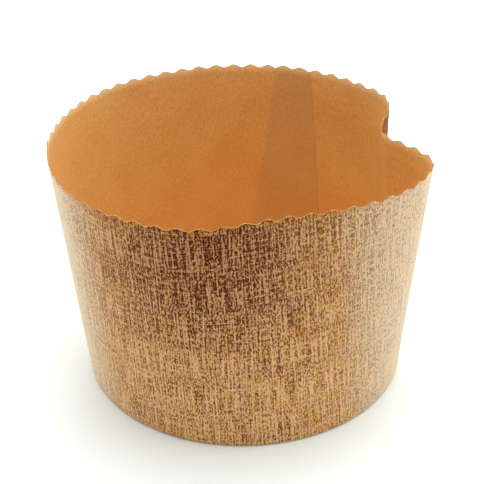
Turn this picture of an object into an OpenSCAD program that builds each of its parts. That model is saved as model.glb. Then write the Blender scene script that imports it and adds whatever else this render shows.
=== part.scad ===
// Scalloped paper baking mold: a conical paper cup with a lap seam and a glued-in base disc.
// Units are millimetres. Z points up. The origin lies on the table, under the middle of the
// cup's overall width and depth.
// The wall is one paper strip. Its ends overlap at the back, its top edge is cut in scallops,
// and its bottom margin is folded in under the base disc in small pleats.

/* [Cup] */
// Height from the table to the tips of the scallops
height = 95; // [60:1:140]
// Outer diameter of the rim where it isn't dented
rim_d = 143; // [130:1:170]
// Outer diameter of the base
base_d = 125.5; // [110:0.5:140]

/* [Paper] */
// Thickness of the wall's paper
wall_t = 0.4; // [0.3:0.05:0.8]
// Thickness of the base disc
disc_t = 0.5; // [0.3:0.05:1.2]
// Free space between the base disc and the tightest part of the wall
disc_gap = 0.3; // [0.1:0.05:1]

/* [Scalloped rim] */
// Half scallops along the rim; an odd number leaves the cut out of step at the seam
half_scallops = 119; // [91:2:151]
// Depth of the notches between scallops
scallop_depth = 1.2; // [0.4:0.1:2.5]

/* [Lap seam] */
// Direction of the inner end of the strip at the rim, in degrees from the X axis
seam_angle = 66; // [40:1:120]
// Angle by which the inner end leans from the rim to the base
seam_lean = 10; // [0:1:20]
// Overlap of the strip's two ends at the rim
lap_rim_w = 15; // [8:1:25]
// Overlap of the strip's two ends at the base
lap_base_w = 37; // [10:1:60]

/* [Dented side] */
// Depth at the rim of the sharp dent
dent_depth = 19; // [0:0.5:24]
// Direction of the bottom of the dent
dent_angle = 4; // [-10:0.5:15]
// Angle from the bottom of the dent to its front shoulder
dent_front = 24.5; // [18:0.5:40]
// Angle from the bottom of the dent to its back shoulder
dent_back = 34.5; // [25:0.5:55]

/* [Flattened sides] */
// Depth at the rim of the flattened front
flat_depth = 9; // [0:0.5:14]
// Direction of the flattened front
flat_angle = -76; // [-90:1:-60]
// Angle over which the flattening fades to the left
flat_left = 38; // [30:1:60]
// Angle over which the flattening fades to the right
flat_right = 50; // [30:1:60]
// Depth at the rim of the slight flattening beside the seam
seam_flat_depth = 2.8; // [0:0.1:4]
// Outward bulge of the rim at the left, back and front
bulge = 1; // [0:0.25:2]

/* [Hem] */
// Width of the margin folded in under the base disc
hem_w = 10; // [6:0.5:20]
// Width of the smooth foot outside the pleats
foot_w = 3; // [2:0.5:4.5]
// Depth of the creases between pleats, on the underside
crease_h = 0.3; // [0:0.05:0.4]

/* [Hidden] */

// The rim's diameter is taken half-way down the scallops
rim_z = height - scallop_depth / 2;
// Level just under the scallops where the fine rim columns merge into the wall's
neck_z = height - scallop_depth - 3;
// Levels of the wall's rows between the neck and the fold, as shares of the rim's height
wall_levels = [2 / 3, 1 / 3];
// The folded margin is two plies thick, and the disc lies on it
hem_t = 2 * wall_t;
disc_top = hem_t + disc_t;
// The fold between wall and hem is as deep as the hem
fold_r = hem_t;
// The disc clears the overlap's two plies and what the dents take off the base
disc_r = base_d / 2 - 2 * wall_t - max(dent_depth, flat_depth) * disc_top / rim_z - disc_gap;

// Columns: the wall has one for each half scallop, the rim three and the hem two
wall_cols = round(half_scallops);
rim_split = 3;
hem_split = 2;
rim_cols = wall_cols * rim_split;
hem_cols = wall_cols * hem_split;

// Half widths of the slight flattening and of the bulges, and where they lie
seam_flat_half = 38;
seam_flat_angle = seam_angle - 25;
bulge_half = 35;
bulge_angles = [145, -140];
// Angle over which an end of the strip is pressed flat, and over which the strip eases back
press_a = 1.5;
ease_a = 40;

// An angle brought to between -180 and 180 degrees
function turned(a) = a - 360 * floor((a + 180) / 360);

// A smooth hump of height 1 at the given direction, fading over its own angle on each side
function hump(a, at, before, after) =
    let (d = turned(a - at), half = d < 0 ? before : after)
    abs(d) < half ? (1 + cos(180 * d / half)) / 2 : 0;

// How far the rim is pushed in from its circle
function push(a) =
    dent_depth * hump(a, dent_angle, dent_front, dent_back)
    + flat_depth * hump(a, flat_angle, flat_left, flat_right)
    + seam_flat_depth * hump(a, seam_flat_angle, seam_flat_half, seam_flat_half)
    - bulge * hump(a, bulge_angles[0], bulge_half, bulge_half)
    - bulge * hump(a, bulge_angles[1], bulge_half, bulge_half);

// Radius of the wall: straight lines run from the round base to the dented rim
function wall_r(a, z) = base_d / 2 + ((rim_d - base_d) / 2 - push(a)) * z / rim_z;

function plan(a, z) = wall_r(a, z) * [cos(a), sin(a)];

// Outward direction of the wall in plan
function outward(a, z) =
    let (along = plan(a + 0.5, z) - plan(a - 0.5, z))
    [along.y, -along.x] / norm(along);

// A point of the wall at the given depth under its outer face
function skin(a, z, depth) =
    let (p = plan(a, z) - depth * outward(a, z))
    [p.x, p.y, z];

// Angle past the inner end of the strip, from 0 to 360
function past_end(a, z) =
    turned(a - seam_angle + seam_lean * (1 - z / rim_z) - 180) + 180;

// Width of the overlap as an angle
function lap_a(z) =
    (lap_base_w + (lap_rim_w - lap_base_w) * z / rim_z) / (PI * wall_r(180, z)) * 180;

// Plies that the inner face is set in by: one more along the overlap, easing back after it
function inner_plies(s, lap) =
    1 + (s < press_a ? s / press_a : s < lap ? 1 : max(0, 1 - (s - lap) / ease_a));

// Plies that the outer face is set in by: one past the outer end, easing back after it
function outer_plies(s, lap) =
    s < lap ? 0 : s < lap + press_a ? (s - lap) / press_a : max(0, 1 - (s - lap) / ease_a);

function outer_pt(a, z) = skin(a, z, wall_t * outer_plies(past_end(a, z), lap_a(z)));
function inner_pt(a, z) = skin(a, z, wall_t * inner_plies(past_end(a, z), lap_a(z)));

// Height of the cut edge: an even wave, counted from a notch at the seam
function edge_z(k) = height - scallop_depth * (1 + cos(180 * k / rim_split)) / 2;

// Directions of the columns, counted from the seam
function col_a(i, cols) = seam_angle + 360 * i / cols;

function rim_row(inner) =
    [for (i = [0:rim_cols - 1])
        let (a = col_a(i, rim_cols), z = edge_z(i))
        inner ? inner_pt(a, z) : outer_pt(a, z)];

function wall_row(z, inner) =
    [for (i = [0:wall_cols - 1])
        let (a = col_a(i, wall_cols))
        inner ? inner_pt(a, z) : outer_pt(a, z)];

// A ring of the hem, set in from the base's edge, with every second point raised
function hem_row(set_in, z, raised) =
    [for (i = [0:hem_cols - 1])
        let (a = col_a(i, hem_cols), r = base_d / 2 - set_in)
        [r * cos(a), r * sin(a), i % 2 == 0 ? z : z + raised]];

// Faces between two rows; row a starts at point a and row b at point b
function band(a, b, cols) =
    [for (i = [0:cols - 1], half = [0, 1])
        let (j = (i + 1) % cols)
        half == 0 ? [a + i, a + j, b + j] : [a + i, b + j, b + i]];

// Faces from a row of split * cols points down to a row of cols points
function merge_band(a, b, cols, split) =
    [for (i = [0:cols - 1], k = [0:split])
        let (
            m = floor(split / 2),
            j = (i + 1) % cols,
            from = a + split * i + k,
            to = a + (split * i + k + 1) % (split * cols)
        )
        k < split ? [from, to, b + (k < m ? i : j)] : [a + split * i + m, b + j, b + i]];

// Faces from a row of cols points down to a row of split * cols points
function part_band(a, b, cols, split) =
    [for (i = [0:cols - 1], k = [0:split])
        let (
            m = floor(split / 2),
            j = (i + 1) % cols,
            from = b + split * i + k,
            to = b + (split * i + k + 1) % (split * cols)
        )
        k < split ? [a + (k < m ? i : j), to, from] : [a + i, a + j, b + split * i + m]];

// The cup's axis is moved off the origin, so that the origin is in the middle of the outline
outline = rim_row(false);
middle = [for (k = [0, 1]) (max([for (p = outline) p[k]]) + min([for (p = outline) p[k]])) / 2];

// One strip of paper: down its outer face, in along the hem and up its inner face
module wall() {
    outer_levels = [neck_z, for (share = wall_levels) share * rim_z, fold_r];
    inner_levels = [hem_t, for (i = [len(wall_levels) - 1:-1:0]) wall_levels[i] * rim_z, neck_z];
    outer_rows = [for (z = outer_levels) each wall_row(z, false)];
    hem_rows = [
        each hem_row(fold_r, 0, 0),
        each hem_row(foot_w, 0, 0),
        each hem_row(hem_w, 0, crease_h),
        each hem_row(hem_w, hem_t, 0)
    ];
    inner_rows = [for (z = inner_levels) each wall_row(z, true)];
    outer_at = rim_cols;
    hem_at = outer_at + len(outer_rows);
    inner_at = hem_at + len(hem_rows);
    inner_rim_at = inner_at + len(inner_rows);
    last_outer = hem_at - wall_cols;
    last_hem = inner_at - hem_cols;
    last_inner = inner_rim_at - wall_cols;
    points = concat(rim_row(false), outer_rows, hem_rows, inner_rows, rim_row(true));
    faces = concat(
        merge_band(0, outer_at, wall_cols, rim_split),
        [for (at = [outer_at:wall_cols:last_outer - 1]) each band(at, at + wall_cols, wall_cols)],
        part_band(last_outer, hem_at, wall_cols, hem_split),
        [for (at = [hem_at:hem_cols:last_hem - 1]) each band(at, at + hem_cols, hem_cols)],
        merge_band(last_hem, inner_at, wall_cols, hem_split),
        [for (at = [inner_at:wall_cols:last_inner - 1]) each band(at, at + wall_cols, wall_cols)],
        part_band(last_inner, inner_rim_at, wall_cols, rim_split),
        band(inner_rim_at, 0, rim_cols)
    );
    color([0.81, 0.64, 0.45])
    translate([-middle.x, -middle.y, 0])
    polyhedron(points = points, faces = faces, convexity = 6);
}

// Round paper floor, glued onto the folded hem inside the cup
module base_disc() {
    color([0.78, 0.5, 0.25])
    translate([-middle.x, -middle.y, hem_t])
    cylinder(r = disc_r, h = disc_t, $fn = 180);
}

wall();
base_disc();
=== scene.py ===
"""Looks for a scalloped paper baking mold with one dented side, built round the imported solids."""
import math

import bpy
import numpy as np
from mathutils import Matrix, Vector


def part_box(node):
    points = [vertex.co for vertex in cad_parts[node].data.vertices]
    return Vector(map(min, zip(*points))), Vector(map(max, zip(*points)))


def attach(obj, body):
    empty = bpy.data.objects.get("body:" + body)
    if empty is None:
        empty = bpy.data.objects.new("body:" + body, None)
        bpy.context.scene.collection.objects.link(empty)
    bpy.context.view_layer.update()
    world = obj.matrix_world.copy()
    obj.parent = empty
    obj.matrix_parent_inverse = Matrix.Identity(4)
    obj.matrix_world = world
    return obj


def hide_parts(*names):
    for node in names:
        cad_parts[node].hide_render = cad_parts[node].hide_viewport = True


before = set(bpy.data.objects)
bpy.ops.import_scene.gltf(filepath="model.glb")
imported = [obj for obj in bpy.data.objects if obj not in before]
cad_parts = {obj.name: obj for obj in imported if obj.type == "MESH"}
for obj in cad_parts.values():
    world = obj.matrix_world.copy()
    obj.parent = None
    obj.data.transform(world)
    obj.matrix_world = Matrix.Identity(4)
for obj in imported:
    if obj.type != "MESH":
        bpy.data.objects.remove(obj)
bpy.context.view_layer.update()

MM = 0.001

# The cup's form in millimetres and degrees, with the same values as the solid model
HEIGHT = 95.0
RIM_D = 143.0
BASE_D = 125.5
# The solid model has 119 half scallops and as many pleats; the cut here runs on past the seam
PLEATS = 119
SCALLOPS_ROUND = 59.87
SCALLOP_DEPTH = 1.2
RIM_Z = HEIGHT - SCALLOP_DEPTH / 2
SEAM_ANGLE = 66.0
SEAM_LEAN = 10.0
LAP_RIM_W = 15.0
LAP_BASE_W = 37.0
DENT_DEPTH, DENT_ANGLE, DENT_FRONT, DENT_BACK = 19.0, 4.0, 24.5, 34.5
FLAT_DEPTH, FLAT_ANGLE, FLAT_LEFT, FLAT_RIGHT = 9.0, -76.0, 38.0, 50.0
SEAM_FLAT_DEPTH, SEAM_FLAT_ANGLE, SEAM_FLAT_HALF = 2.8, SEAM_ANGLE - 25.0, 38.0
BULGE, BULGE_HALF, BULGE_ANGLES = 1.0, 35.0, (145.0, -140.0)
# Shade painted dark brown into the bottom of the sharp dent: where it lies, and the height over which it starts
DENT_SHADE_ANGLE, DENT_SHADE_FRONT, DENT_SHADE_BACK = DENT_ANGLE + 6.0, 10.0, 18.0
DENT_SHADE_FROM_Z, DENT_SHADE_FADE = 72.0, 18.0
HEM_W = 10.0
FOOT_W = 3.0
CREASE_H = 0.3
PLIES_T = 0.8
DISC_T = 0.5

# One sheet of paper, and the step between two glued sheets
SHEET_T = 0.38
PLY_STEP = 0.4
EASE_A = 40.0
# How much thinner the glue press leaves the strip's two ends, and over which width
INNER_END_PRESS = 0.7
OUTER_END_PRESS = 0.25
END_PRESS_W = 2.0
# Radius of the fold between the wall and the hem
FOLD_R = 1.3
# Part of the strip over which its columns turn to lie along a leaning end
END_REACH = 110.0
# Points of the mesh
COLS_PER_SCALLOP = 16
WALL_ROWS = 20
FOLD_ROWS = 5
HEM_ROWS = 6
# Smallest and largest waves that the paper keeps from handling: count round the cup, size, phase
RIPPLES = ((5, 0.12, 0.6), (9, 0.10, 2.1), (14, 0.06, 4.0), (23, 0.03, 1.2))

SEED = 11


def turned(angle):
    """An angle brought to between -180 and 180 degrees."""
    return (angle + 180.0) % 360.0 - 180.0


def ease(x):
    """A smooth step from 0 to 1 as x goes from 0 to 1."""
    x = np.clip(x, 0.0, 1.0)
    return x * x * (3.0 - 2.0 * x)


def hump(angle, at, before, after):
    """A smooth hump of height 1 that fades over its own angle on each side."""
    off = turned(angle - at)
    half = np.where(off < 0, before, after)
    return np.where(abs(off) < half, 0.5 + 0.5 * np.cos(np.pi * off / half), 0.0)


def push(angle):
    """How far the rim is pushed in from its circle."""
    total = DENT_DEPTH * hump(angle, DENT_ANGLE, DENT_FRONT, DENT_BACK)
    total = total + FLAT_DEPTH * hump(angle, FLAT_ANGLE, FLAT_LEFT, FLAT_RIGHT)
    total = total + SEAM_FLAT_DEPTH * hump(angle, SEAM_FLAT_ANGLE, SEAM_FLAT_HALF, SEAM_FLAT_HALF)
    for at in BULGE_ANGLES:
        total = total - BULGE * hump(angle, at, BULGE_HALF, BULGE_HALF)
    return total


def wall_r(angle, z):
    """Radius of the wall: straight lines run from the round base to the dented rim."""
    return BASE_D / 2 + ((RIM_D - BASE_D) / 2 - push(angle)) * z / RIM_Z


def plan(angle, z):
    """Place of the wall's outer face in plan, as an array with x and y last."""
    turn = np.radians(angle)
    return wall_r(angle, z)[..., None] * np.stack([np.cos(turn), np.sin(turn)], axis=-1)


def outward(angle, z):
    """Outward direction of the wall in plan."""
    along = plan(angle + 0.5, z) - plan(angle - 0.5, z)
    across = np.stack([along[..., 1], -along[..., 0]], axis=-1)
    return across / np.linalg.norm(across, axis=-1, keepdims=True)


def ripple(angle, z):
    """Slight waves that grow towards the free rim."""
    turn = np.radians(angle)
    waves = sum(size * np.cos(count * turn + phase + z / 60.0) for count, size, phase in RIPPLES)
    return waves * z / RIM_Z


def lap_a(z):
    """Width of the strip's overlap as an angle."""
    width = LAP_BASE_W + (LAP_RIM_W - LAP_BASE_W) * z / RIM_Z
    return np.degrees(width / wall_r(180.0, z))


def rim_lengths():
    """Angles from the strip's inner end onwards, and the length along the rim up to each."""
    angles = SEAM_ANGLE + np.linspace(0.0, 420.0, 8401)
    points = plan(angles, np.full_like(angles, RIM_Z))
    steps = np.linalg.norm(np.diff(points, axis=0), axis=1)
    return angles, np.concatenate([[0.0], np.cumsum(steps)])


RIM_ANGLES, RIM_LENGTHS = rim_lengths()
ROUND_LENGTH = float(np.interp(SEAM_ANGLE + 360.0, RIM_ANGLES, RIM_LENGTHS))
STRIP_LENGTH = ROUND_LENGTH + LAP_RIM_W
SCALLOP_W = ROUND_LENGTH / SCALLOPS_ROUND


def strip_columns():
    """Places of the mesh's columns along the rim: evenly spaced in each scallop."""
    step = SCALLOP_W / COLS_PER_SCALLOP
    places = np.arange(0.0, STRIP_LENGTH - step / 3, step)
    return np.append(places, STRIP_LENGTH)


def edge_z(places):
    """Height of the cut edge: an even wave, counted from a notch at the inner end."""
    return HEIGHT - SCALLOP_DEPTH * (1 + np.cos(2 * np.pi * places / SCALLOP_W)) / 2


def column_angle(places, z):
    """Direction of each column at a height; columns near the strip's ends lie along them."""
    rim_angle = np.interp(places, RIM_LENGTHS, RIM_ANGLES)
    lean = -SEAM_LEAN * (1 - z / RIM_Z)
    at_inner_end = ease(1 - places / END_REACH)
    at_outer_end = ease(1 - (STRIP_LENGTH - places) / END_REACH)
    widening = lap_a(z) - np.degrees(LAP_RIM_W / wall_r(180.0, RIM_Z))
    return rim_angle + lean * at_inner_end + (lean + widening) * at_outer_end


def past_end(angle, z):
    """Angle past the strip's inner end, counted on through the whole strip."""
    return angle - SEAM_ANGLE + SEAM_LEAN * (1 - z / RIM_Z)


def flat_place(angle, z):
    """Place on the flat blank, a ring sector that rolls up into the cone, in millimetres."""
    rise = math.hypot(RIM_Z, (RIM_D - BASE_D) / 2)
    slope = (RIM_D - BASE_D) / 2 / rise
    reach = BASE_D / 2 / slope + z / RIM_Z * rise
    length = np.interp(angle, RIM_ANGLES, RIM_LENGTHS)
    length = length + math.radians(RIM_D / 2) * np.minimum(angle - SEAM_ANGLE, 0.0)
    turn = (length - STRIP_LENGTH / 2) / (BASE_D / 2 / slope + rise)
    return np.stack([reach * np.sin(turn), reach * np.cos(turn) - BASE_D / 2 / slope], axis=-1)


def pleats(angle, inset):
    """Height of the creases pressed into the hem, which deepen towards its inner edge."""
    count = turned(angle - SEAM_ANGLE) / 360.0 * PLEATS
    share = count % 1.0
    draw = np.random.default_rng(SEED).uniform(0.6, 1.0, PLEATS + 1)
    size = draw[np.floor(count).astype(int) % PLEATS]
    return CREASE_H * size * share ** 1.5 * ease((inset - FOOT_W * 0.6) / (HEM_W * 0.6))


def dent_shade(angle, z):
    """How strongly shade is painted dark brown over the print, in the bottom of the sharp dent."""
    return hump(angle, DENT_SHADE_ANGLE, DENT_SHADE_FRONT, DENT_SHADE_BACK) * ease((z - DENT_SHADE_FROM_Z) / DENT_SHADE_FADE)


def strip_faces():
    """Both faces of the paper strip as grids of points in millimetres, with two marks.

    Rows run from the cut rim down the wall, round the fold and in along the hem. The marks are
    the place on the flat blank and how far each point lies inside the overlap."""
    places = strip_columns()
    top = edge_z(places)
    shares = np.linspace(1.0, 0.0, WALL_ROWS) ** 0.9
    z = FOLD_R + (top - FOLD_R)[None, :] * shares[:, None]
    angle = column_angle(places[None, :], z)
    past = past_end(angle, z)
    overlap = lap_a(z)
    depth = PLY_STEP * (1 - ease((past - overlap) / EASE_A))
    side = outward(angle, z)
    skin = plan(angle, z) + side * ripple(angle, z)[..., None]
    belows = [
        SHEET_T * OUTER_END_PRESS * ease(1 - (STRIP_LENGTH - places) / END_PRESS_W),
        SHEET_T * (1 - INNER_END_PRESS * ease(1 - places / END_PRESS_W)),
    ]
    faces = []
    for below in belows:
        flat = skin - side * (depth + below)[..., None]
        faces.append([np.concatenate([flat, z[..., None]], axis=-1)])
    marks = [flat_place(angle, z)]
    overlaps = [1 - ease((past - overlap + 1.0) / 2.0)]

    foot_angle, foot_side, foot_depth, foot_skin = angle[-1], side[-1], depth[-1], skin[-1]
    for row in range(1, FOLD_ROWS + 1):
        bend = math.pi / 2 * row / FOLD_ROWS
        for face, below in zip(faces, belows):
            radius = FOLD_R - foot_depth - below
            flat = foot_skin + foot_side * (radius * math.cos(bend) - FOLD_R)[..., None]
            height = FOLD_R - radius * math.sin(bend)
            face.append(np.concatenate([flat, height[:, None]], axis=-1)[None])
        marks.append(flat_place(foot_angle, FOLD_R - bend * FOLD_R)[None])
        overlaps.append(overlaps[0][-1:])

    is_outer_ply = past[-1] > 360 - EASE_A / 10
    for row in range(1, HEM_ROWS + 1):
        inset = FOLD_R + (HEM_W - FOLD_R) * row / HEM_ROWS
        creases = pleats(foot_angle, inset) * (foot_depth < PLY_STEP * 0.99)
        room = np.where(is_outer_ply, 0.0, PLIES_T - 0.02 - foot_depth - SHEET_T)
        flat = foot_skin - foot_side * inset
        lifts = [creases, np.minimum(creases, room)]
        for face, below, lift in zip(faces, belows, lifts):
            height = foot_depth + below + lift
            face.append(np.concatenate([flat, height[:, None]], axis=-1)[None])
        marks.append(flat_place(foot_angle, -math.pi / 2 * FOLD_R - inset + FOLD_R)[None])
        overlaps.append(overlaps[0][-1:])
    return [np.concatenate(face) for face in faces], np.concatenate(marks), np.concatenate(overlaps)


def grid_quads(first, rows, cols, flip):
    """Quads over a grid of points that starts at the given index, as an array."""
    at = first + np.arange(rows - 1)[:, None] * cols + np.arange(cols - 1)[None, :]
    corners = [at, at + 1, at + cols + 1, at + cols]
    if flip:
        corners = corners[::-1]
    return np.stack(corners, axis=-1).reshape(-1, 4)


def border_quads(border_a, border_b):
    """Quads that join two lines of points."""
    return np.stack([border_a[:-1], border_b[:-1], border_b[1:], border_a[1:]], axis=-1)


def add_mesh(name, points_mm, groups, materials):
    """An object from points in millimetres round the cup's axis, and (quads, material) groups."""
    faces = np.concatenate([quads for quads, _ in groups])
    slots = np.concatenate([np.full(len(quads), slot) for quads, slot in groups])
    mesh = bpy.data.meshes.new(name)
    placed = points_mm * MM + np.array([axis_x, axis_y, 0.0])
    mesh.from_pydata(placed.tolist(), [], faces.tolist())
    mesh.polygons.foreach_set("material_index", slots.astype(np.int32))
    mesh.validate()
    mesh.shade_smooth()
    mesh.set_sharp_from_angle(angle=math.radians(40))
    for material in materials:
        mesh.materials.append(material)
    piece = bpy.data.objects.new(name, mesh)
    bpy.context.scene.collection.objects.link(piece)
    return piece


def add_mark(piece, name, values, kind="FLOAT"):
    """A value at each point of the mesh, for its material."""
    mark = piece.data.attributes.new(name, kind, "POINT")
    field = "vector" if kind == "FLOAT_VECTOR" else "value"
    mark.data.foreach_set(field, np.ascontiguousarray(values, dtype=np.float32).ravel())


def make_wall(materials):
    """The paper strip with its overlap, scalloped rim and pleated hem, as one closed sheet."""
    (outer, inner), places, overlaps = strip_faces()
    rows, cols = outer.shape[:2]
    count = rows * cols
    points = np.concatenate([outer.reshape(-1, 3), inner.reshape(-1, 3)])
    index = np.arange(count).reshape(rows, cols)
    edges = [
        border_quads(index[0], index[0] + count),
        border_quads(index[-1] + count, index[-1]),
        border_quads(index[:, 0] + count, index[:, 0]),
        border_quads(index[:, -1], index[:, -1] + count),
    ]
    # Painted shade in the bottom of the sharp dent; its faces take their own material with little sheen, so the
    # shade stays dark
    creases = dent_shade(np.degrees(np.arctan2(points[:, 1], points[:, 0])), points[:, 2])
    outside = grid_quads(0, rows, cols, True)
    is_dent_shaded = creases[outside].mean(axis=1) > 0.02
    groups = [
        (outside[~is_dent_shaded], 0),
        (grid_quads(count, rows, cols, False), 1),
        (np.concatenate(edges), 2),
        (outside[is_dent_shaded], 3),
    ]
    wall = add_mesh("paper_wall", points, groups, materials)
    flat = np.concatenate([places.reshape(-1, 2), np.zeros((count, 1))], axis=-1)
    add_mark(wall, "flat_place", np.concatenate([flat, flat]), "FLOAT_VECTOR")
    add_mark(wall, "overlap", np.concatenate([overlaps.ravel(), overlaps.ravel()]))
    add_mark(wall, "height", points[:, 2])
    add_mark(wall, "dent_shade", creases)
    return wall


# The disc sags a little inside the ring of the hem that carries it
DISC_COLS = 240
DISC_ROWS = 30
DISC_SAG = 0.25
DISC_SAG_FROM = 2.0


def disc_heights(radius, angle):
    """How far the disc's paper lies above its glued ring."""
    hem_edge = BASE_D / 2 - HEM_W
    sag = DISC_SAG * ease((hem_edge + DISC_SAG_FROM - radius) / (2 * DISC_SAG_FROM))
    print_through = 0.03 * np.cos(np.radians(angle) * PLEATS) * ease((radius - hem_edge) / 3)
    belly = 0.08 * np.cos(np.radians(angle) * 2 + 0.7) * (radius / hem_edge) * ease((hem_edge - radius) / 20)
    return belly - sag + print_through


def make_disc(material):
    """The round paper floor, as one closed sheet."""
    low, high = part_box("base_disc")
    disc_r = (high.x - low.x) / 2 / MM
    radii = disc_r * np.linspace(0.0, 1.0, DISC_ROWS + 1)[1:]
    angles = 360.0 * np.arange(DISC_COLS) / DISC_COLS
    radius, angle = np.meshgrid(radii, angles, indexing="ij")
    turn = np.radians(angle)
    flat = np.stack([radius * np.cos(turn), radius * np.sin(turn)], axis=-1)
    lift = disc_heights(radius, angle)
    lift_mid = disc_heights(np.zeros(1), np.zeros(1))
    points = []
    for face_z in (PLIES_T + DISC_T, PLIES_T):
        points.append(np.concatenate([flat, (face_z + lift)[..., None]], axis=-1).reshape(-1, 3))
        points.append(np.array([[0.0, 0.0, face_z + float(lift_mid[0])]]))
    points = np.concatenate(points)
    rows = len(radii)
    per_face = rows * DISC_COLS + 1
    ring = np.arange(DISC_COLS)
    after = (ring + 1) % DISC_COLS
    faces = []
    for row in range(rows - 1):
        a, b = row * DISC_COLS + ring, row * DISC_COLS + after
        faces.append(np.stack([a, a + DISC_COLS, b + DISC_COLS, b], axis=-1))
    top = np.concatenate(faces)
    rim = (rows - 1) * DISC_COLS
    edge = np.stack([rim + ring, rim + ring + per_face, rim + after + per_face, rim + after], axis=-1)
    quads = np.concatenate([top, top[:, ::-1] + per_face, edge]).tolist()
    hub = rows * DISC_COLS
    fans = [[hub, int(i), int(j)] for i, j in zip(ring, after)]
    fans += [[hub + per_face, int(j) + per_face, int(i) + per_face] for i, j in zip(ring, after)]
    mesh = bpy.data.meshes.new("paper_disc")
    placed = points * MM + np.array([axis_x, axis_y, 0.0])
    mesh.from_pydata(placed.tolist(), [], quads + fans)
    mesh.validate()
    mesh.shade_smooth()
    mesh.set_sharp_from_angle(angle=math.radians(40))
    mesh.materials.append(material)
    disc = bpy.data.objects.new("paper_disc", mesh)
    bpy.context.scene.collection.objects.link(disc)
    flat = points.copy()
    flat[:, 2] = 0.0
    add_mark(disc, "flat_place", flat, "FLOAT_VECTOR")
    add_mark(disc, "overlap", np.zeros(len(points)))
    return disc


def linear(red, green, blue):
    """A colour from 0 to 255 values, as the shader's linear values."""
    shares = [value / 255 for value in (red, green, blue)]
    curve = [v / 12.92 if v <= 0.04045 else ((v + 0.055) / 1.055) ** 2.4 for v in shares]
    return (*curve, 1.0)


class Paint:
    """Short ways to add nodes to one material."""

    def __init__(self, name):
        self.material = bpy.data.materials.new(name)
        self.material.use_nodes = True
        self.tree = self.material.node_tree
        self.shader = self.tree.nodes["Principled BSDF"]

    def put(self, value, socket):
        if isinstance(value, bpy.types.NodeSocket):
            self.tree.links.new(value, socket)
        else:
            socket.default_value = value

    def mark(self, name):
        node = self.tree.nodes.new("ShaderNodeAttribute")
        node.attribute_name = name
        return node

    def math(self, operation, a, b=0.0, c=0.0, clamp=False):
        node = self.tree.nodes.new("ShaderNodeMath")
        node.operation = operation
        node.use_clamp = clamp
        for value, socket in zip((a, b, c), node.inputs):
            self.put(value, socket)
        return node.outputs[0]

    def vector(self, x, y, z=0.0):
        node = self.tree.nodes.new("ShaderNodeCombineXYZ")
        for value, socket in zip((x, y, z), node.inputs):
            self.put(value, socket)
        return node.outputs[0]

    def split(self, vector):
        node = self.tree.nodes.new("ShaderNodeSeparateXYZ")
        self.put(vector, node.inputs[0])
        return node.outputs[0], node.outputs[1]

    def noise(self, vector, scale, detail=2.0, roughness=0.5, dimensions="3D"):
        node = self.tree.nodes.new("ShaderNodeTexNoise")
        node.noise_dimensions = dimensions
        self.put(vector, node.inputs["Vector"])
        self.put(scale, node.inputs["Scale"])
        self.put(detail, node.inputs["Detail"])
        self.put(roughness, node.inputs["Roughness"])
        return node.outputs["Fac"]

    def wave(self, place, spacing):
        """A cosine from -1 to 1 that repeats at the given spacing."""
        return self.math("COSINE", self.math("MULTIPLY", place, 2 * math.pi / spacing))

    def total(self, *terms):
        """Sum of each value times its weight."""
        result = 0.0
        for value, weight in terms:
            result = self.math("MULTIPLY_ADD", value, weight, result)
        return result

    def range(self, value, low, high, to_low=0.0, to_high=1.0, smooth=False):
        node = self.tree.nodes.new("ShaderNodeMapRange")
        node.interpolation_type = "SMOOTHSTEP" if smooth else "LINEAR"
        for part, socket in zip((value, low, high, to_low, to_high), node.inputs):
            self.put(part, socket)
        return node.outputs[0]

    def mix(self, share, a, b, blend="MIX"):
        node = self.tree.nodes.new("ShaderNodeMix")
        node.data_type = "RGBA"
        node.blend_type = blend
        self.put(share, node.inputs["Factor"])
        self.put(a, node.inputs[6])
        self.put(b, node.inputs[7])
        return node.outputs[2]

    def let_through(self, share, colour):
        """Lets a share of the light through the paper, tinted."""
        glow = self.tree.nodes.new("ShaderNodeBsdfTranslucent")
        self.put(colour, glow.inputs["Color"])
        both = self.tree.nodes.new("ShaderNodeMixShader")
        self.put(share, both.inputs["Fac"])
        self.tree.links.new(self.shader.outputs[0], both.inputs[1])
        self.tree.links.new(glow.outputs[0], both.inputs[2])
        self.tree.links.new(both.outputs[0], self.tree.nodes["Material Output"].inputs["Surface"])

    def bump(self, height, distance, strength=1.0):
        node = self.tree.nodes.new("ShaderNodeBump")
        self.put(height, node.inputs["Height"])
        self.put(distance, node.inputs["Distance"])
        self.put(strength, node.inputs["Strength"])
        self.put(node.outputs[0], self.shader.inputs["Normal"])


# The printed mesh: its threads in a millimetre, upright and level, and the colours
THREADS_X = 1.65
THREADS_Y = 1.45
PRINT_LIGHT = linear(236, 196, 144)
PRINT_YELLOW = linear(204, 164, 82)
PRINT_PINK = linear(206, 148, 108)
PRINT_ORANGE = linear(200, 134, 62)
# Painted shade: browner ground in the upper part of the patches
PRINT_BROWN_SHADE = linear(150, 80, 26)
# Partly painted sheen, partly paler print: the ground away from the patches
PRINT_PALE_SHEEN = linear(228, 212, 184)
PRINT_DARK = linear(76, 20, 0)
# Painted shade in the bottom of the sharp dent
PRINT_DENT_SHADE = linear(142, 64, 18)
KRAFT = linear(240, 190, 114)
KRAFT_DEEP = linear(214, 152, 74)
# Painted shade: browner kraft where two plies let less light through
KRAFT_DOUBLE_SHADE = linear(208, 150, 92)
# Painted light: lighter kraft towards the bottom of the inside
KRAFT_PAINTED_LIGHT = linear(255, 206, 118)
KRAFT_FRINGE = linear(252, 222, 168)
# Where the patches of densest print lie along the strip, and how far apart they lie; the patches are partly
# denser print and partly painted shade that darkens their upper part
SHADED_PATCH_AT = 14.0
SHADED_PATCH_EVERY = 150.0
SPECULAR = 0.08
SHEEN = 1.0
SHEEN_ROUGHNESS = 0.3
SHEEN_COLOUR = linear(255, 244, 208)
CUT_EDGE = linear(196, 154, 100)
CUT_EDGE_DARK = linear(132, 88, 44)
GLOW = linear(235, 165, 90)
GLOW_DARK = linear(90, 40, 15)
GLOW_SHARE = 0.22


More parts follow.
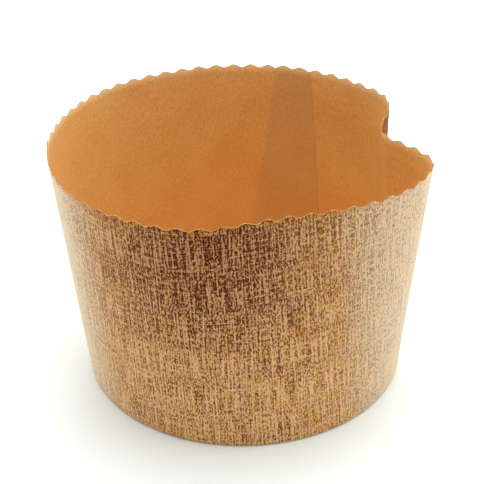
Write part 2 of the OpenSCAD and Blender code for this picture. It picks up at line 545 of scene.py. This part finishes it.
def printed_paper(name, sheen, specular):
    """Satin outside, printed like coarse linen: light threads over dark gaps of uneven length; repeating patches
    are partly denser print and partly painted shade darker at the top, the print between them is painted paler,
    partly as painted sheen, and the dent has painted shade.
    """
    paint = Paint(name)
    place = paint.mark("flat_place").outputs["Vector"]
    x, y = paint.split(place)
    height = paint.mark("height").outputs["Fac"]
    upright = paint.noise(paint.vector(x, paint.math("MULTIPLY", y, 0.04)), THREADS_X, 1.0)
    level = paint.noise(paint.vector(paint.math("MULTIPLY", x, 0.04), y, 50.0), THREADS_Y, 1.0)
    streaks = paint.noise(paint.vector(x, paint.math("MULTIPLY", y, 0.42)), 1.65, 1.0)
    specks = paint.noise(place, 1.55, 1.0)
    weave = paint.total((upright, 1.8), (level, 0.5), (streaks, 2.8), (specks, 1.9))
    # Patches that repeat along the strip, where the ink is strongest: partly denser print, partly painted shade
    # that makes their upper part darker and browner and their lower part lighter
    middle = paint.wave(paint.math("SUBTRACT", x, SHADED_PATCH_AT), SHADED_PATCH_EVERY)
    middle = paint.range(middle, -1.0, 1.0)
    dense_and_shaded_patch = paint.math("MULTIPLY", middle, paint.range(height, 15.0, 85.0, smooth=True))
    dense = paint.total((paint.noise(place, 0.05, 3.0), 0.5), (dense_and_shaded_patch, 0.4))
    level_at = paint.range(dense, 0.2, 0.65, 3.55, 3.06)
    dark = paint.range(weave, level_at, paint.math("ADD", level_at, 0.6))
    ink = paint.total((middle, 0.4), (dense_and_shaded_patch, 0.15), (0.45, 1.0))
    lines = paint.total((paint.range(upright, 0.46, 0.32), 0.6), (paint.range(level, 0.42, 0.32), 0.35))
    dark = paint.math("MULTIPLY", dark, paint.math("SUBTRACT", 1.0, lines, clamp=True))
    tint = paint.noise(place, 0.16, 3.0, 0.6)
    ground = paint.mix(paint.range(tint, 0.4, 0.6), PRINT_YELLOW, PRINT_PINK)
    warm = paint.noise(paint.vector(y, x), 0.12, 3.0, 0.6)
    ground = paint.mix(paint.range(warm, 0.5, 0.7), ground, PRINT_ORANGE)
    thread = paint.math("ADD", lines, paint.range(weave, 3.5, 2.9), clamp=True)
    ground = paint.mix(thread, ground, PRINT_LIGHT)
    # Painted shade: the ground is painted browner in the upper part of the patches
    ground = paint.mix(paint.math("MULTIPLY", dense_and_shaded_patch, 0.55), ground, PRINT_BROWN_SHADE)
    ground = paint.mix(paint.range(height, HEIGHT - 2.6, HEIGHT - 1.4, 0.0, 0.8), ground, PRINT_ORANGE)
    # Partly painted sheen, partly paler print: the ground is painted paler away from the patches
    ground = paint.mix(paint.range(middle, 0.4, 0.05, 0.0, 0.6), ground, PRINT_PALE_SHEEN)
    # Painted shade: the bottom of the sharp dent is painted dark reddish brown over the print, and made rougher
    shaded_dent = paint.mark("dent_shade").outputs["Fac"]
    colour = paint.mix(paint.math("MULTIPLY", dark, ink), ground, PRINT_DARK)
    colour = paint.mix(paint.math("MULTIPLY", shaded_dent, 0.6), colour, PRINT_DENT_SHADE)
    paint.put(colour, paint.shader.inputs["Base Color"])
    roughness = paint.range(dark, 0.0, 1.0, 0.36, 0.44)
    roughness = paint.math("MULTIPLY_ADD", shaded_dent, 0.5, roughness, clamp=True)
    paint.put(roughness, paint.shader.inputs["Roughness"])
    paint.shader.inputs["Specular IOR Level"].default_value = specular
    paint.shader.inputs["Sheen Weight"].default_value = sheen
    paint.shader.inputs["Sheen Roughness"].default_value = SHEEN_ROUGHNESS
    paint.shader.inputs["Sheen Tint"].default_value = SHEEN_COLOUR
    fibres = paint.noise(place, 1.6, 4.0, 0.6)
    paint.bump(paint.math("SUBTRACT", fibres, paint.math("MULTIPLY", dark, 0.3)), 0.04 * MM)
    paint.let_through(GLOW_SHARE, paint.mix(dark, GLOW, GLOW_DARK))
    return paint.material


def kraft_paper(name="kraft_paper"):
    """Plain brown inside, with fine upright fibres, the overlap painted browner as shade where two plies let less
    light through, and painted light towards the bottom.
    """
    paint = Paint(name)
    place = paint.mark("flat_place").outputs["Vector"]
    x, y = paint.split(place)
    upright = paint.vector(x, paint.math("MULTIPLY", y, 0.3))
    fibres = paint.noise(upright, 1.6, 4.0, 0.7)
    cloud = paint.noise(place, 0.05, 3.0)
    grain = paint.noise(place, 1.4, 4.0, 0.7)
    shade = paint.total((fibres, 0.4), (cloud, 0.2), (grain, 0.4))
    colour = paint.mix(paint.range(shade, 0.4, 0.6), KRAFT_DEEP, KRAFT)
    # Painted shade: the overlap is painted browner, as two plies let less light through
    double = paint.mark("overlap").outputs["Fac"]
    colour = paint.mix(paint.math("MULTIPLY", double, 0.22), colour, KRAFT_DOUBLE_SHADE)
    height = paint.mark("height").outputs["Fac"]
    # Painted light: the inside is painted lighter towards the bottom
    colour = paint.mix(paint.range(height, 75.0, 15.0, 0.0, 0.3), colour, KRAFT_PAINTED_LIGHT)
    fringe_from = paint.math("MULTIPLY_ADD", grain, -8.0, HEIGHT + 0.5)
    fringe = paint.range(height, fringe_from, HEIGHT - 0.5, 0.0, 0.9)
    colour = paint.mix(fringe, colour, KRAFT_FRINGE)
    paint.put(colour, paint.shader.inputs["Base Color"])
    paint.put(paint.range(grain, 0.3, 0.7, 0.6, 0.75), paint.shader.inputs["Roughness"])
    paint.bump(paint.math("ADD", fibres, grain), 0.05 * MM)
    paint.let_through(GLOW_SHARE, colour)
    return paint.material


def cut_edge():
    """The pale core of the paper at its cut edges."""
    paint = Paint("cut_edge")
    place = paint.mark("flat_place").outputs["Vector"]
    rough = paint.noise(place, 1.5, 3.0)
    colour = paint.mix(paint.range(rough, 0.35, 0.65), CUT_EDGE, CUT_EDGE_DARK)
    paint.put(colour, paint.shader.inputs["Base Color"])
    paint.shader.inputs["Roughness"].default_value = 0.9
    paint.bump(rough, 0.03 * MM)
    return paint.material


# The camera, fitted to the photograph: angles in radians, distances in heights of the rim
FRAME_W = 494
FOCAL_PX = 1150.0
PITCH = 0.5348
ROLL = -0.0117
DISTANCE = 5.0144
SHIFT_RIGHT = -0.0095
SHIFT_UP = -0.4529
SENSOR_W = 36.0

# The tent's colour, how bright it is towards the camera and behind the cup, and how much of
# its brighter part lies on the right
TENT_COLOUR = (0.97, 1.0, 1.0, 1.0)
FRONT_LIGHT = 0.45
BACK_LIGHT = 1.6
RIGHT_SHARE = 0.25
LAMP_WATTS = 6.5
LAMP_SIZE = 1.0


def make_camera():
    """The photograph's view."""
    forward = Vector((0.0, math.cos(PITCH), -math.sin(PITCH)))
    up = Vector((0.0, math.sin(PITCH), math.cos(PITCH)))
    right = Vector((1.0, 0.0, 0.0))
    image_right = right * math.cos(ROLL) + up * math.sin(ROLL)
    image_up = up * math.cos(ROLL) - right * math.sin(ROLL)
    offset = -forward * DISTANCE - image_right * SHIFT_RIGHT - image_up * SHIFT_UP
    data = bpy.data.cameras.new("camera")
    data.sensor_width = SENSOR_W
    data.lens = FOCAL_PX / FRAME_W * SENSOR_W
    camera = bpy.data.objects.new("camera", data)
    turn = Matrix((image_right, image_up, -forward)).transposed().to_4x4()
    camera.matrix_world = Matrix.Translation(Vector((axis_x, axis_y, 0.0)) + offset * RIM_Z * MM) @ turn
    bpy.context.scene.collection.objects.link(camera)
    bpy.context.scene.camera = camera


def make_floor():
    """A plain pale tabletop."""
    paint = Paint("floor")
    grain = paint.noise(paint.tree.nodes.new("ShaderNodeTexCoord").outputs["Object"], 30.0, 2.0)
    colour = paint.mix(grain, linear(232, 236, 233), linear(238, 242, 239))
    paint.put(colour, paint.shader.inputs["Base Color"])
    paint.shader.inputs["Roughness"].default_value = 0.6
    half = 2.5
    mesh = bpy.data.meshes.new("floor")
    mesh.from_pydata([(-half, -half, 0), (half, -half, 0), (half, half, 0), (-half, half, 0)], [], [(0, 1, 2, 3)])
    mesh.materials.append(paint.material)
    floor = bpy.data.objects.new("floor", mesh)
    bpy.context.scene.collection.objects.link(floor)


def add_light(name, place, watts, size, aim=(0.0, 0.0, 0.05)):
    """A soft square lamp that looks at the cup."""
    data = bpy.data.lights.new(name, "AREA")
    data.energy = watts
    data.size = size
    lamp = bpy.data.objects.new(name, data)
    lamp.location = place
    lamp.rotation_euler = (Vector(aim) - Vector(place)).to_track_quat("-Z", "Y").to_euler()
    bpy.context.scene.collection.objects.link(lamp)


def make_light():
    """A white tent that is open and dimmer in front, with a soft lamp above the cup."""
    world = bpy.data.worlds.new("studio")
    world.use_nodes = True
    tree = world.node_tree
    background = tree.nodes["Background"]
    background.inputs["Color"].default_value = TENT_COLOUR
    place = tree.nodes.new("ShaderNodeTexCoord")
    parts = tree.nodes.new("ShaderNodeSeparateXYZ")
    tree.links.new(place.outputs["Generated"], parts.inputs[0])
    fade = tree.nodes.new("ShaderNodeMapRange")
    for value, socket in zip((-0.95, 0.1, FRONT_LIGHT, BACK_LIGHT), fade.inputs[1:5]):
        socket.default_value = value
    towards = tree.nodes.new("ShaderNodeMath")
    towards.operation = "MULTIPLY_ADD"
    towards.inputs[1].default_value = RIGHT_SHARE
    tree.links.new(parts.outputs["X"], towards.inputs[0])
    tree.links.new(parts.outputs["Y"], towards.inputs[2])
    tree.links.new(towards.outputs[0], fade.inputs["Value"])
    tree.links.new(fade.outputs[0], background.inputs["Strength"])
    bpy.context.scene.world = world
    bpy.context.scene.view_settings.view_transform = "Standard"
    add_light("lamp", (0.1, 0.25, 1.0), LAMP_WATTS, LAMP_SIZE)


disc_low, disc_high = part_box("base_disc")
axis_x = (disc_low.x + disc_high.x) / 2
axis_y = (disc_low.y + disc_high.y) / 2

printed = printed_paper("printed_paper", SHEEN, SPECULAR)
# The faces in the bottom of the dent take this paper with painted shade, with little sheen and no gloss so the
# shade stays dark
shaded_dent = printed_paper("shaded_dent_paper", 0.1 * SHEEN, 0.0)
kraft = kraft_paper()
wall = make_wall([printed, kraft, cut_edge(), shaded_dent])
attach(wall, "root")
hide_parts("wall")
disc = make_disc(kraft)
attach(disc, "root")
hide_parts("base_disc")

make_camera()
make_floor()
make_light()
